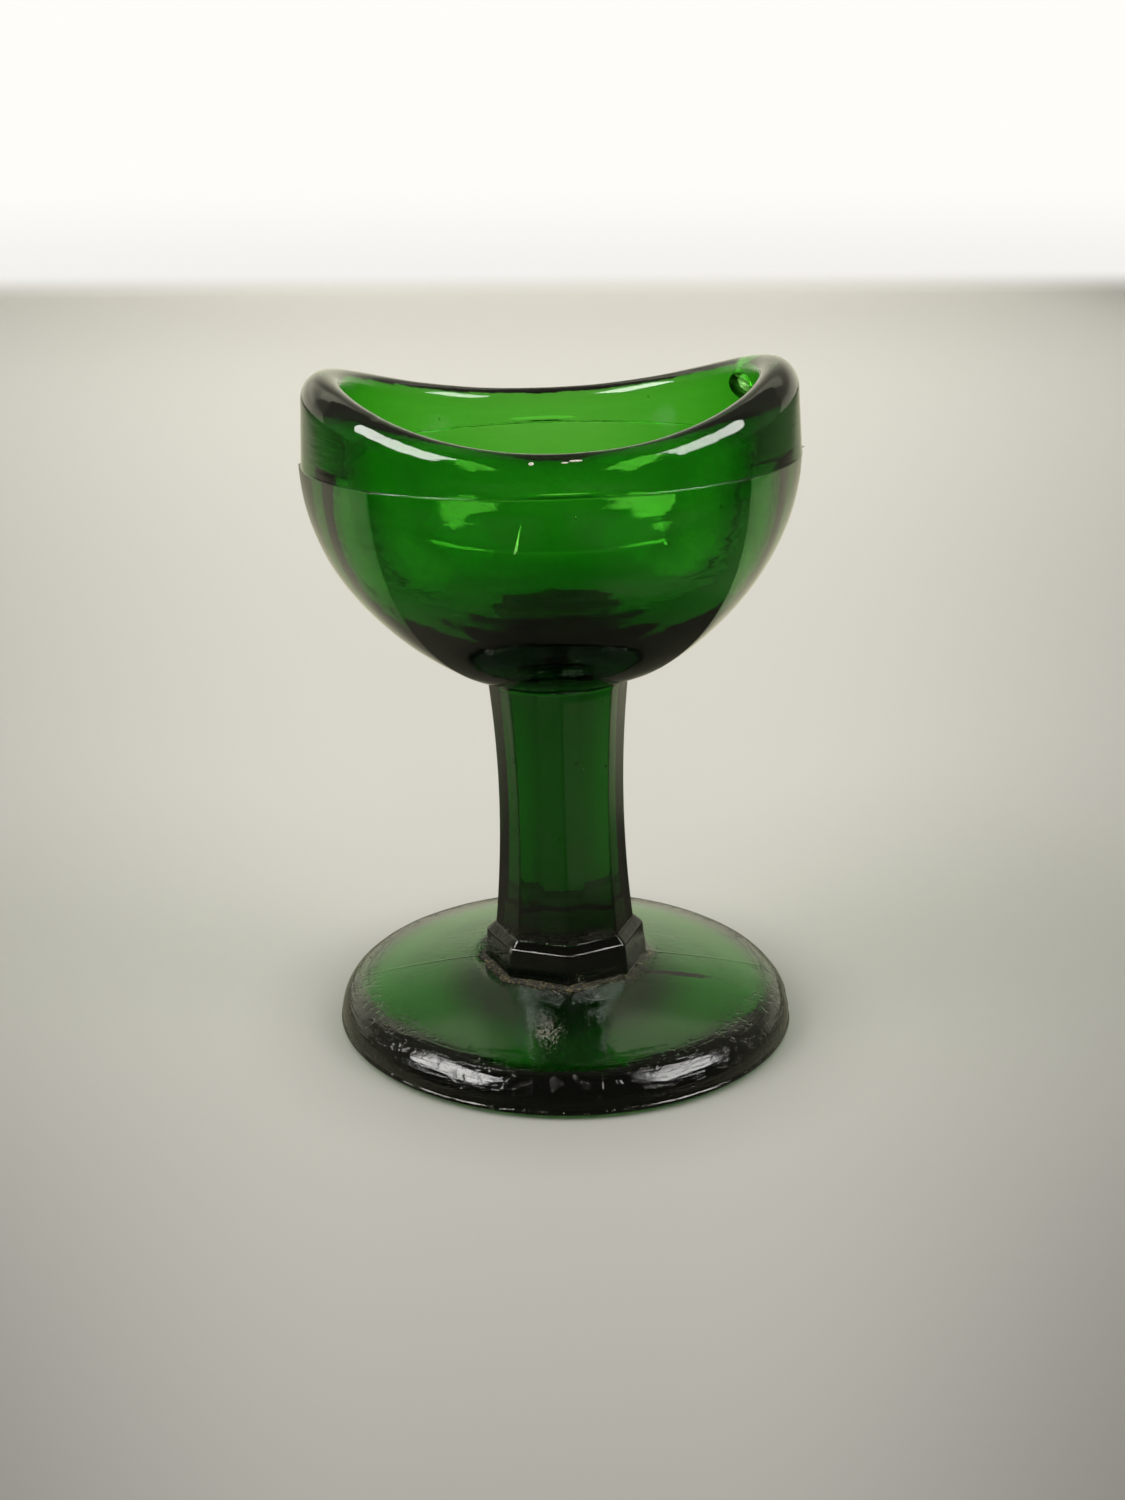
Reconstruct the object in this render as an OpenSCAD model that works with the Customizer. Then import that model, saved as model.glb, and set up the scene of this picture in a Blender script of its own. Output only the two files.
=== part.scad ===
// Pedestal eye bath of pressed glass, in millimetres.
// The origin is the centre of the foot on the table, +Z is up, +X runs along the long side of the oval
// bowl and -Y is the front. Angles around the bowl start at the front and turn towards +X.

/* [Foot] */
// Diameter of the foot at its rolled edge
foot_d = 44; // [38:0.2:52]
// Radius of the rolled edge, seen in section
foot_edge_r = 3.5; // [2.5:0.1:4.5]
// Height of the dome's crown above the table
foot_crown_h = 6.5; // [6:0.1:9]
// Height of the thin flange along the bottom edge
foot_flange_h = 0.9; // [0.5:0.1:1.2]
// Height of the flange's upright edge
foot_flange_edge_h = 0.4; // [0.1:0.1:0.4]
// How far the flange stands out from the rolled edge
foot_flange_step = 0.1; // [0.05:0.05:0.4]
// How far the ring on the table is set in from the rolled edge
foot_ring_inset = 0.8; // [0.1:0.1:1.5]
// Width of the flat ring that the foot stands on
foot_ring_w = 5.7; // [3:0.1:9]
// Depth of the shallow hollow inside that ring, at its middle
foot_hollow_h = 1.2; // [0.4:0.1:2.5]

/* [Collar] */
// Height of the eight-sided collar, from the foot to the stem
collar_h = 3.8; // [2:0.1:6]
// Width of the flat ledge between the stem and the collar's bevel
collar_ledge = 0.15; // [0.05:0.05:0.5]
// Width of the bevel along the collar's top edge
collar_bevel_w = 0.7; // [0.2:0.05:1.5]
// Height of that bevel
collar_bevel_h = 0.7; // [0.2:0.05:1.5]
// How much further out each side of the collar is on the foot than below the bevel
collar_flare = 0.3; // [0:0.05:1]
// Width of the flat seat on the foot outside the collar's corners
collar_seat_margin = 0.4; // [0.1:0.1:1]

/* [Stem] */
// Length of the eight-sided stem
stem_h = 25.4; // [15:0.1:35]
// Width of the stem across its flats, at both ends
stem_end_w = 12.45; // [9:0.05:16]
// How far each side of the stem is drawn in at the waist
stem_draw = 0.675; // [0.1:0.025:1.5]
// Angle by which all above the foot leans towards -X, in degrees
stem_lean = 1.5; // [0:0.1:4]

/* [Bowl] */
// Width of the oval bowl along X, at the mould's parting line
bowl_w = 45; // [40:0.5:52]
// Depth of the oval bowl along Y, at the parting line
bowl_d = 39.4; // [35:0.2:46]
// Height of the bowl, from the stem to the parting line
bowl_h = 20.1; // [18:0.1:28]
// Fullness of the bowl's side: 2 is an ellipse, more is squarer
bowl_fullness = 2; // [1.7:0.05:2.4]
// Width of the glass under the bowl outside the stem's corners
bowl_base_margin = 0.6; // [0.2:0.1:1]
// Thickness of the glass under the cup's hollow
cup_floor_t = 5.1; // [3:0.1:9]
// Fullness of the cup's hollow: 2 is an ellipse, more is squarer
cup_fullness = 2.7; // [1.8:0.1:3]
// How far the ridges between the bowl's panels stand out from the oval
ridge_rise = 0.25; // [0:0.05:0.4]
// How far the middle of the front and back panels lies inside the oval
panel_dip = 0.35; // [0:0.05:0.6]
// How far the middle of the four narrow panels at the ends lies inside the oval
end_panel_dip = 0.8; // [0:0.05:1]

/* [Rim] */
// Thickness of the wall at the rim, at the front and the back
wall_t = 2.9; // [2:0.1:4]
// Thickness of the wall at the rim, at the two ends of the oval
wall_end_t = 3.6; // [2:0.1:5]
// Height over which the outside of the wall rounds over into the lip
lip_h = 2.2; // [1:0.1:2.4]
// Height of the lip above the parting line, at the front and the back
rim_low_h = 3.4; // [2.5:0.1:6]
// How much higher the lip is at the two ends of the oval
rim_rise = 4.7; // [2:0.1:7]
// How far the band leans in from the parting line up to the lip's highest point
rim_taper = 0.45; // [0:0.05:1]
// Sweep of the saddle: 2 is a plain round cut, more keeps the low part flatter
rim_sweep = 2.2; // [1.8:0.1:3]

/* [Hidden] */

glass = [0.06, 0.36, 0.10, 0.75];

// Steps around the oval, steps down the bowl's side and the cup's hollow, and steps over the lip
turn_n = 72;
side_n = 16;
cup_n = 12;
lip_n = 8;
turns = [for (k = [0:turn_n - 1]) 360 * k / turn_n];

// Segments of the turned foot, and of the wide arcs in its section and in the stem's
turned_fn = 128;
wide_arc_fn = 720;

// A length that reaches across the whole part, for cutting
reach = foot_d + bowl_w;

// Distance from the middle to a corner of a regular octagon of width w across its flats
function octagon_corner(w) = w / 2 / cos(22.5);

// The dome of the foot is one wide arc that runs tangent into the rolled edge
foot_r = foot_d / 2;
edge_mid_r = foot_r - foot_edge_r;
edge_mid_h = foot_flange_h;
dome_lift = foot_crown_h - edge_mid_h;
dome_r = (pow(edge_mid_r, 2) + pow(dome_lift, 2) - pow(foot_edge_r, 2)) / (2 * (dome_lift - foot_edge_r));
dome_end_r = edge_mid_r * dome_r / (dome_r - foot_edge_r);
function dome_h(r) = foot_crown_h - dome_r + sqrt(pow(dome_r, 2) - pow(r, 2));

// The hollow under the foot is part of a sphere, inside the ring that stands on the table
ring_r = foot_r - foot_ring_inset;
hollow_edge_r = ring_r - foot_ring_w;
hollow_r = (pow(hollow_edge_r, 2) + pow(foot_hollow_h, 2)) / (2 * foot_hollow_h);

// Widths of the collar across its flats: at the ledge, below the bevel and on the foot
ledge_w = stem_end_w + 2 * collar_ledge;
collar_top_w = ledge_w + 2 * collar_bevel_w;
collar_base_w = collar_top_w + 2 * collar_flare;

// Heights of the joints between the pieces, before the lean
seat_r = octagon_corner(collar_base_w) + collar_seat_margin;
seat_h = dome_h(seat_r);
stem_z = seat_h + collar_h;
bowl_z = stem_z + stem_h;
parting_z = bowl_z + bowl_h;
cup_h = bowl_h - cup_floor_t;

// How far the collar runs below its seat before it is cut level, so that the lean leaves no gap
cut_over = 0.5;
collar_tuck = cut_over + seat_r * sin(stem_lean);

// Radius of the arc that draws in the stem
waist_r = (pow(stem_h / 2, 2) + pow(stem_draw, 2)) / (2 * stem_draw);

// The bowl's side is a superellipse that ends on the stem as a circle of radius base_r
base_r = octagon_corner(stem_end_w) + bowl_base_margin;
function shrink(x, power) = pow(max(0, 1 - pow(x, power)), 1 / power);
side_h = bowl_h / shrink(2 * base_r / bowl_w, bowl_fullness);

// Leans its children towards -X about the middle of the seat on the foot
module leaning() {
    translate([0, 0, seat_h]) rotate([0, -stem_lean, 0]) translate([0, 0, -seat_h]) children();
}

// Eight-sided solid with a corner to the front, whose every pair of opposite sides follows the 2D outline
module eight_sided() {
    intersection_for (k = [0:3])
        rotate([0, 0, 22.5 + 45 * k]) rotate([90, 0, 0])
            linear_extrude(height = reach, center = true) children();
}

// Foot: dome with a rolled edge, a flat seat for the collar, a flange and a hollow underside
module foot_outline() {
    intersection() {
        translate([0, foot_crown_h - dome_r]) circle(dome_r, $fn = wide_arc_fn);
        union() {
            square([dome_end_r, seat_h]);
            translate([edge_mid_r, edge_mid_h]) circle(foot_edge_r, $fn = turned_fn);
        }
        translate([0, foot_flange_h]) square([foot_r, seat_h - foot_flange_h]);
    }
    polygon([
        [0, 0],
        [ring_r, 0],
        [foot_r + foot_flange_step, foot_flange_h - foot_flange_edge_h],
        [foot_r + foot_flange_step, foot_flange_h],
        [0, foot_flange_h],
    ]);
}

module foot() {
    color(glass) difference() {
        rotate_extrude($fn = turned_fn) foot_outline();
        translate([0, 0, foot_hollow_h - hollow_r]) sphere(hollow_r, $fn = wide_arc_fn);
    }
}

// Collar: eight tapered sides and a bevel, cut level where it sits on the foot
module stem_collar() {
    color(glass) intersection() {
        leaning() translate([0, 0, seat_h]) eight_sided() polygon([
            [-collar_base_w / 2, -collar_tuck],
            [collar_base_w / 2, -collar_tuck],
            [collar_base_w / 2, 0],
            [collar_top_w / 2, collar_h - collar_bevel_h],
            [ledge_w / 2, collar_h],
            [-ledge_w / 2, collar_h],
            [-collar_top_w / 2, collar_h - collar_bevel_h],
            [-collar_base_w / 2, 0],
        ]);
        translate([-reach / 2, -reach / 2, seat_h]) cube(reach);
    }
}

// Stem: eight sides drawn in to a waist by one wide arc
module stem() {
    color(glass) leaning() translate([0, 0, stem_z]) eight_sided() difference() {
        translate([-stem_end_w / 2, 0]) square([stem_end_w, stem_h]);
        for (side = [-1, 1])
            translate([side * (stem_end_w / 2 - stem_draw + waist_r), stem_h / 2])
                circle(waist_r, $fn = wide_arc_fn);
    }
}

// Point at angle a of an oval with half-width rx and half-depth ry, at height z
function oval(a, rx, ry, z) = [rx * sin(a), -ry * cos(a), z];

// How far the panelled bowl stands out from its oval at angle a. The ridges are at 45, 90 and 135 degrees
// on each side, so the front and back panels are wide and two narrow ones meet at each end.
function fold(a) = let (m = a % 180) min(m, 180 - m);
function panel_part(f) = f < 45 ? f / 45 : abs(f - 67.5) / 22.5;
function dip(f) = f < 45 ? panel_dip : end_panel_dip;
function panel(a) = let (f = fold(a)) ridge_rise - (ridge_rise + dip(f)) * (1 - pow(panel_part(f), 2));

// Ring of the bowl's outside at the share u of its height below the parting line
function side_ring(u) = let (
    s = shrink(u * bowl_h / side_h, bowl_fullness),
    rx = s * bowl_w / 2,
    ry = rx * ((1 - u) * bowl_d / bowl_w + u)
) [for (a = turns) oval(a, rx + s * panel(a), ry + s * panel(a), parting_z - u * bowl_h)];

// Ring of the cup's hollow at the share u of its depth
function cup_ring(u) = let (
    s = shrink(u, cup_fullness),
    rx = s * (bowl_w / 2 - wall_end_t),
    ry = s * (bowl_d / 2 - wall_t)
) [for (a = turns) oval(a, rx, ry, parting_z - u * cup_h)];

// Two triangles for each step between ring i and ring j, in the order that faces outwards
function between(i, j) = [
    for (k = [0:turn_n - 1]) let (n = (k + 1) % turn_n, p = i * turn_n, q = j * turn_n)
        each [[p + k, q + k, q + n], [p + k, q + n, p + n]]
];

// Triangles from ring i to one point, seen from the side the ring runs clockwise or from the other side
function cap(i, tip, turned) = [
    for (k = [0:turn_n - 1]) let (p = i * turn_n + k, q = i * turn_n + (k + 1) % turn_n)
        turned ? [tip, q, p] : [tip, p, q]
];

// Bowl: panelled outside and smooth oval hollow, one closed skin from the stem's joint over the parting
// line down to the bottom of the cup
module bowl() {
    outside = [for (i = [side_n:-1:0]) side_ring(sin(90 * i / side_n))];
    inside = [for (i = [0:cup_n - 1]) cup_ring(sin(90 * i / cup_n))];
    rings = concat(outside, inside);
    base_tip = len(rings) * turn_n;
    cup_tip = base_tip + 1;
    color(glass) leaning() polyhedron(
        points = concat([for (r = rings) each r], [[0, 0, bowl_z], [0, 0, parting_z - cup_h]]),
        faces = concat(
            cap(0, base_tip, false),
            [for (i = [0:len(rings) - 2]) each between(i, i + 1)],
            cap(len(rings) - 1, cup_tip, true)
        ),
        convexity = 4
    );
}

// Height of the lip's top above the parting line at angle a
function rim_h(a) = rim_low_h + rim_rise * pow(abs(sin(a)), rim_sweep);

// Point of the band at angle a and height h above the parting line, where part is 0 on the outside of the
// wall and 1 on its inside
function band_point(a, h, part) = let (i = rim_taper * h / (rim_low_h + rim_rise))
    oval(a, bowl_w / 2 - i - part * wall_end_t, bowl_d / 2 - i - part * wall_t, parting_z + h);

// Ring over the lip: t is 0 on the outside of the wall, 90 on the top and 180 on the inside
function lip_drop(t) = (t < 90 ? lip_h : wall_t / 2) * (1 - sin(t));
function lip_ring(t) = [for (a = turns) band_point(a, rim_h(a) - lip_drop(t), (1 - cos(t)) / 2)];
function wall_ring(part) = [for (a = turns) band_point(a, 0, part)];

// Rim band: plain oval wall from the parting line up to the round lip, which swings up at both ends
module rim_band() {
    rings = concat([wall_ring(0)], [for (i = [0:lip_n]) lip_ring(180 * i / lip_n)], [wall_ring(1)]);
    color(glass) leaning() polyhedron(
        points = [for (r = rings) each r],
        faces = [for (i = [0:len(rings) - 1]) each between(i, (i + 1) % len(rings))],
        convexity = 4
    );
}

foot();
stem_collar();
stem();
bowl();
rim_band();
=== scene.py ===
import math

import bpy
import numpy as np
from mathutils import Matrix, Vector, noise


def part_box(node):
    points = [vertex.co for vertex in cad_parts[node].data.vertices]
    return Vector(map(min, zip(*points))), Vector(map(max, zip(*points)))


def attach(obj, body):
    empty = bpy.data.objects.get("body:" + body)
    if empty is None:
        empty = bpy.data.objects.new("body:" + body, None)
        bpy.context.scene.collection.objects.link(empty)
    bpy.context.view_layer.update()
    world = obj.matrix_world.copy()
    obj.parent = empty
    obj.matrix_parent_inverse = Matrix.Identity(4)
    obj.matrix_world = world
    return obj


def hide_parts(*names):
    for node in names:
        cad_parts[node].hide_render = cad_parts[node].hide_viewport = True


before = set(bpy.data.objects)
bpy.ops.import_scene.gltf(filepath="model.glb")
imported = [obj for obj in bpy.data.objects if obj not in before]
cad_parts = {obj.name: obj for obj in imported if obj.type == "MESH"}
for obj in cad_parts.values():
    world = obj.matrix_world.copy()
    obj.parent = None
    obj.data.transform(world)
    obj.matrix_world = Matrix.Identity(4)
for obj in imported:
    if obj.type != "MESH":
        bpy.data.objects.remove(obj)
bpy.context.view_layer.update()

# Shapes are worked out in millimetres, upright and with the foot's middle at the origin, as in the CAD source
MM = 0.001
LEAN = math.radians(1.5)
flange_step = 0.1
ridge_rise = 0.25
panel_dip = 0.35
end_panel_dip = 0.8


def lean(points, angle):
    """Points turned towards -X about the middle of the collar's seat on the foot."""
    x, y, z = points[:, 0], points[:, 1], points[:, 2] - seat_h
    c, s = math.cos(angle), math.sin(angle)
    return np.column_stack([c * x - s * z, y, s * x + c * z + seat_h])


def upright_box(node):
    """Lowest and highest corner of a CAD node once the lean is taken out, in millimetres."""
    points = np.array([v.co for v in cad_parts[node].data.vertices]) / MM
    points = lean(points, -LEAN)
    return points.min(0), points.max(0)


# Sizes that the frame gives
seat_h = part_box("foot")[1].z / MM
foot_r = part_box("foot")[1].x / MM - flange_step
stem_low, stem_high = upright_box("stem")
bowl_low, bowl_high = upright_box("bowl")
band_low, band_high = upright_box("rim_band")
stem_z = stem_low[2]
bowl_z = bowl_low[2]
parting_z = bowl_high[2]
stem_w = (stem_high[1] - stem_low[1]) * math.cos(math.pi / 8)
bowl_w = band_high[0] - band_low[0]
bowl_d = band_high[1] - band_low[1]
bowl_h = parting_z - bowl_z
rim_top_h = band_high[2] - parting_z

# Sizes of the foot's section
edge_r = 3.5
edge_mid_r = foot_r - edge_r
edge_mid_h = 0.9
crown_h = 6.5
ring_r = foot_r - 0.8
hollow_edge_r = ring_r - 5.7
hollow_h = 1.2
hollow_r = (hollow_edge_r**2 + hollow_h**2) / (2 * hollow_h)
dome_lift = crown_h - edge_mid_h
dome_r = (edge_mid_r**2 + dome_lift**2 - edge_r**2) / (2 * (dome_lift - edge_r))

# Sizes of the collar, stem, bowl and rim
bevel = 0.7
ledge_w = stem_w + 0.3
collar_top_w = ledge_w + 2 * bevel
collar_base_w = collar_top_w + 0.6
stem_draw = 0.675
stem_h = bowl_z - stem_z
waist_r = ((stem_h / 2) ** 2 + stem_draw**2) / (2 * stem_draw)
base_r = stem_w / 2 / math.cos(math.pi / 8) + 0.6
fullness = 2.0
cup_fullness = 2.7
cup_h = bowl_h - 5.1
wall_t = 2.9
wall_end_t = 3.6
lip_h = 2.2
rim_low_h = 3.4
rim_rise = rim_top_h - rim_low_h
rim_taper = 0.45
rim_sweep = 2.2
cup_rx = bowl_w / 2 - wall_end_t
cup_ry = bowl_d / 2 - wall_t

# Angles around the glass start at the front and turn towards +X. They crowd towards every 45 degrees, where
# the stem's corners and the bowl's ridges are.
SIDES = 8
PER_SIDE = 28
CROWDING = 0.75
step = np.arange(SIDES * PER_SIDE) / PER_SIDE
share = step % 1
crowded = share - CROWDING * np.sin(2 * np.pi * share) / (2 * np.pi)
angle = np.radians(360 / SIDES * (np.floor(step) + crowded))
COUNT = len(angle)
flats = np.radians(360 / SIDES * (np.arange(SIDES) + 0.5))
degrees = (np.degrees(angle) + 180) % 360 - 180

# The bowl's front and back panels take up 90 degrees each, its four end panels 45. They dip between ridges.
fold = np.minimum(np.abs(degrees), 180 - np.abs(degrees))
panel_part = np.where(fold < 45, fold / 45, np.abs(fold - 67.5) / 22.5)
dip = np.where(fold < 45, panel_dip, end_panel_dip)
panel = ridge_rise - (ridge_rise + dip) * (1 - panel_part**2)


def ring(rx, ry, z):
    return np.column_stack([rx * np.sin(angle), -ry * np.cos(angle), np.full(COUNT, 1.0) * z])


def octagon(sharp):
    """Distance from the middle to an eight-sided outline of half-width 1 with slightly rounded corners."""
    reach = np.maximum(0, np.cos(angle[:, None] - flats[None, :]))
    return 1 / (reach**sharp).sum(1) ** (1 / sharp)


def shrink(x, power):
    return max(0.0, 1 - x**power) ** (1 / power)


def arc(r, arc_r, top):
    """Height at radius r of a wide arc about the axis that has its top at the given height."""
    return top - arc_r + math.sqrt(arc_r**2 - r**2)


def foot_rings():
    """Rings from the middle of the hollow underside out to the flange and over the edge up to the collar."""
    rings = [ring(r, r, arc(r, hollow_r, hollow_h)) for r in (1.5, 4, 7, 10, 12.5, 14.2, hollow_edge_r - 0.4)]
    outline = [
        (hollow_edge_r - 0.1, 0.03), (hollow_edge_r + 0.2, 0), (hollow_edge_r + 1.5, 0),
        (hollow_edge_r + 3.5, 0), (ring_r - 0.6, 0), (ring_r - 0.15, 0.01), (ring_r + 0.12, 0.1),
        (ring_r + 0.45, 0.27), (foot_r - 0.05, 0.45), (foot_r + 0.06, 0.52), (foot_r + 0.1, 0.62),
        (foot_r + 0.08, 0.76), (foot_r, 0.86), (foot_r - 0.07, 0.93), (foot_r - 0.03, 1.02),
    ]
    rings += [ring(r, r, z) for r, z in outline]
    tangent = 90 - math.degrees(math.atan2(edge_mid_r, edge_mid_h - crown_h + dome_r))
    for e in np.radians(np.linspace(4, tangent, 26)):
        r = edge_mid_r + edge_r * math.cos(e)
        rings.append(ring(r, r, edge_mid_h + edge_r * math.sin(e)))
    dome_end_r = edge_mid_r * dome_r / (dome_r - edge_r)
    for r in np.linspace(dome_end_r, 8.9, 20)[1:]:
        rings.append(ring(r, r, arc(r, dome_r, crown_h)))
    return rings


def stem_rings():
    """Rings from the crease round the collar up to the underside of the bowl."""
    sharp = octagon(90)
    rings = []
    base = seat_h
    top = stem_z
    for w, z, blend in (
        (collar_base_w + 1.0, base, 0.6), (collar_base_w + 0.2, base + 0.012, 0.1),
        (collar_base_w + 0.05, base + 0.04, 0), (collar_base_w - 0.01, base + 0.14, 0),
        (collar_base_w - 0.15, base + 1.0, 0), (collar_base_w - 0.35, base + 2.0, 0),
        (collar_top_w + 0.04, top - bevel - 0.2, 0), (collar_top_w + 0.015, top - bevel - 0.085, 0),
        (collar_top_w - 0.015, top - bevel - 0.03, 0), (collar_top_w - 0.055, top - bevel + 0.02, 0),
        (collar_top_w - 0.12, top - bevel + 0.06, 0), (collar_top_w - 0.26, top - bevel + 0.13, 0),
        (collar_top_w - 0.8, top - bevel + 0.4, 0), (ledge_w + 0.2, top - 0.1, 0),
        (ledge_w + 0.1, top - 0.05, 0), (ledge_w + 0.02, top - 0.015, 0), (ledge_w - 0.08, top, 0),
        (stem_w + 0.03, top + 0.005, 0), (stem_w + 0.01, top + 0.03, 0), (stem_w, top + 0.12, 0),
    ):
        r = w / 2 * (sharp * (1 - blend) + blend)
        rings.append(ring(r, r, z))
    for z in np.linspace(stem_z + 0.35, bowl_z - 0.9, 24):
        from_waist = z - stem_z - stem_h / 2
        drawn = stem_w - 2 * stem_draw + 2 * (waist_r - math.sqrt(waist_r**2 - from_waist**2))
        rings.append(ring(drawn / 2 * sharp, drawn / 2 * sharp, z))
    for out, below, blend in ((0.06, 0.5, 0.1), (0.25, 0.2, 0.3), (0.6, 0.02, 0.6)):
        r = (stem_w / 2 - 0.02 + out) * (sharp * (1 - blend) + blend * 1.04)
        rings.append(ring(r, r, bowl_z - below))
    return rings


side_h = bowl_h / shrink(2 * base_r / bowl_w, fullness)


def bowl_radii(z):
    """Half-width and half-depth of the bowl's oval at a height, without its panels."""
    u = max(0, parting_z - z) / bowl_h
    rx = shrink(u * bowl_h / side_h, fullness) * bowl_w / 2
    return rx, rx * ((1 - u) * bowl_d / bowl_w + u)


def bowl_rings():
    """Rings of the panelled outside, from the stem up to just under the parting line."""
    rings = []
    below = np.concatenate([bowl_h * np.sin(np.radians(np.linspace(86, 2, 40))), np.linspace(0.6, 0.1, 6)])
    for z in parting_z - below:
        rx, ry = bowl_radii(z)
        out = rx / (bowl_w / 2) * panel
        rings.append(ring(rx + out, ry + out, z))
    return rings


def rim_height(a):
    return rim_low_h + rim_rise * np.abs(np.sin(a)) ** rim_sweep


def band_ring(h, part):
    """Ring of the band at a height above the parting line. Part is 0 on its outside and 1 on its inside."""
    taper = rim_taper * h / rim_top_h
    rx = bowl_w / 2 - taper - part * wall_end_t
    ry = bowl_d / 2 - taper - part * wall_t
    return ring(rx, ry, parting_z + h)


def band_rings():
    """Rings of the parting line, the plain band, the round lip and the inside of the wall."""
    rings = []
    proud = np.maximum(panel, 0)
    wavy = np.array([noise.noise(Vector((4 * math.sin(a), 4 * math.cos(a), 0))) for a in angle])
    flash = 0.05 + 0.03 * wavy + 0.16 * np.exp(-((degrees - 90) / 3) ** 2)
    for h, out in (
        (-0.06, proud + 0.2 * flash), (-0.04, proud + 0.8 * flash), (0.0, proud + flash),
        (0.03, proud + 0.6 * flash), (0.045, 0.5 * proud), (0.06, 0.0),
    ):
        rings.append(ring(bowl_w / 2 + out, bowl_d / 2 + out, parting_z + h))
    for h in np.linspace(0.1, 0.6, 8):
        rings.append(band_ring(np.full(COUNT, h), 0))
    top = rim_height(angle)
    for part in (0.12, 0.3, 0.5, 0.7, 0.9):
        rings.append(band_ring(0.6 + part * (top - lip_h - 0.6), 0))
    for t in np.radians(np.linspace(0, 180, 33)):
        drop = lip_h if math.cos(t) > 0 else wall_t / 2
        rings.append(band_ring(top - drop * (1 - math.sin(t)), (1 - math.cos(t)) / 2))
    for part in (0.85, 0.65, 0.45, 0.25, 0.1):
        rings.append(band_ring(part * (top - wall_t / 2), 1))
    return rings


def cup_rings():
    """Rings of the smooth hollow, from the parting line down to its floor."""
    shares = np.concatenate([np.linspace(0, 0.6, 76), np.sin(np.radians(np.linspace(37.5, 87, 40)))])
    rings = []
    for u in shares:
        s = shrink(u, cup_fullness)
        rings.append(ring(s * cup_rx, s * cup_ry, parting_z - u * cup_h))
    return rings


def closed_skin(rings, first_tip, last_tip):
    """Points and faces of a closed skin through the rings, with one point to close each end."""
    count = len(rings[0])
    points = np.vstack(list(rings) + [np.array([first_tip, last_tip])])
    first, last = count * len(rings), count * len(rings) + 1
    faces = []
    for i in range(len(rings) - 1):
        p, q = i * count, (i + 1) * count
        for k in range(count):
            n = (k + 1) % count
            faces.append((p + k, p + n, q + n, q + k))
    end = (len(rings) - 1) * count
    for k in range(count):
        n = (k + 1) % count
        faces.append((first, n, k))
        faces.append((last, end + k, end + n))
    return points, faces


def joined(parts):
    """Points and faces of several closed skins as one mesh."""
    points, faces = [], []
    for part_points, part_faces in parts:
        start = sum(len(p) for p in points)
        faces += [tuple(v + start for v in f) for f in part_faces]
        points.append(part_points)
    return np.vstack(points), faces


def add_object(name, data):
    made = bpy.data.objects.new(name, data)
    bpy.context.scene.collection.objects.link(made)
    return made


def add_mesh(name, points, faces):
    """A smooth-shaded mesh object. Its points are in metres."""
    mesh = bpy.data.meshes.new(name)
    mesh.from_pydata([tuple(p) for p in points], [], faces)
    mesh.polygons.foreach_set("use_smooth", [True] * len(mesh.polygons))
    mesh.update()
    return add_object(name, mesh)


def noise_field(grid, scale, seed):
    """Smooth noise at every point of the grid. Scale is in waves per millimetre along X, Y and Z."""
    flat = grid.reshape(-1, 3) * np.array(scale) + seed
    return np.array([noise.noise(p) for p in flat.tolist()]).reshape(grid.shape[:2])


def smooth(x):
    x = np.clip(x, 0, 1)
    return x * x * (3 - 2 * x)


FOOT, STEM, BOWL, BAND, CUP = range(5)
zones = [foot_rings(), stem_rings(), bowl_rings(), band_rings(), cup_rings()]
zone = np.concatenate([np.full(len(z), i) for i, z in enumerate(zones)])[:, None]
grid = np.array([r for z in zones for r in z])
around = np.roll(grid, -1, 1) - np.roll(grid, 1, 1)
along = np.gradient(grid, axis=0)
normal = np.cross(around, along)
normal /= np.linalg.norm(normal, axis=2)[:, :, None]
height = grid[:, :, 2]
radius = np.hypot(grid[:, :, 0], grid[:, :, 1])

# Depths of the marks on the surface
cup_ripple = 0.02
draw_line = 0.014
edge_wave = 0.03
mould_line = 0.015
chip_depth = 0.3
crease_step = 0.06
crease_ridge = 0.09
cut_depth = 0.16

# Slow swells and fine chill ripples of pressed glass, by zone: foot, stem, bowl, band and cup. More ripples
# run low in the cup, and upright draw lines along the stem.
swell = np.array([0.03, 0.02, 0.06, 0.035, 0.06])[zone]
ripple = np.array([0.006, 0.004, 0.016, 0.012, 0.018])[zone]
offset = swell * noise_field(grid, (0.16, 0.16, 0.12), 3.7)
offset += ripple * noise_field(grid, (0.35, 0.35, 1.3), 11.3)
offset *= smooth((height - 0.95) / 1.0)
low_cup = smooth((height - 42.5) / 2) * smooth((50.0 - height) / 2)
offset += np.where(zone == CUP, cup_ripple * low_cup * noise_field(grid, (0.25, 0.25, 1.3), 21.9), 0)
above_ledge = (zone == STEM) & (height > stem_z + 0.3)
offset += np.where(above_ledge, draw_line * noise_field(grid, (1.2, 1.2, 0.05), 15.2), 0)

# Waves along the foot's rolled edge, mould lines on top of the foot, along X, and a chip in its right edge
rolled = (zone == FOOT) & (height > 1.1)
waves = edge_wave * smooth((radius - 17) / 2) * noise_field(grid, (0.45, 0.45, 0.45), 8.1)
offset += np.where(rolled, waves, 0)
for side in (-90, 90):
    from_line = np.radians(degrees - side) * radius
    offset += np.where(rolled & (height > 1.5), mould_line * np.exp(-((from_line / 0.1) ** 2)), 0)
chip = np.exp(-(((degrees - 84) / 3.5) ** 2)) * np.exp(-(((height - 1.6) / 0.9) ** 2))
offset -= np.where(zone == FOOT, chip_depth * chip * (1 + noise_field(grid, (1.5, 1.5, 1.5), 5.1)), 0)

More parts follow.
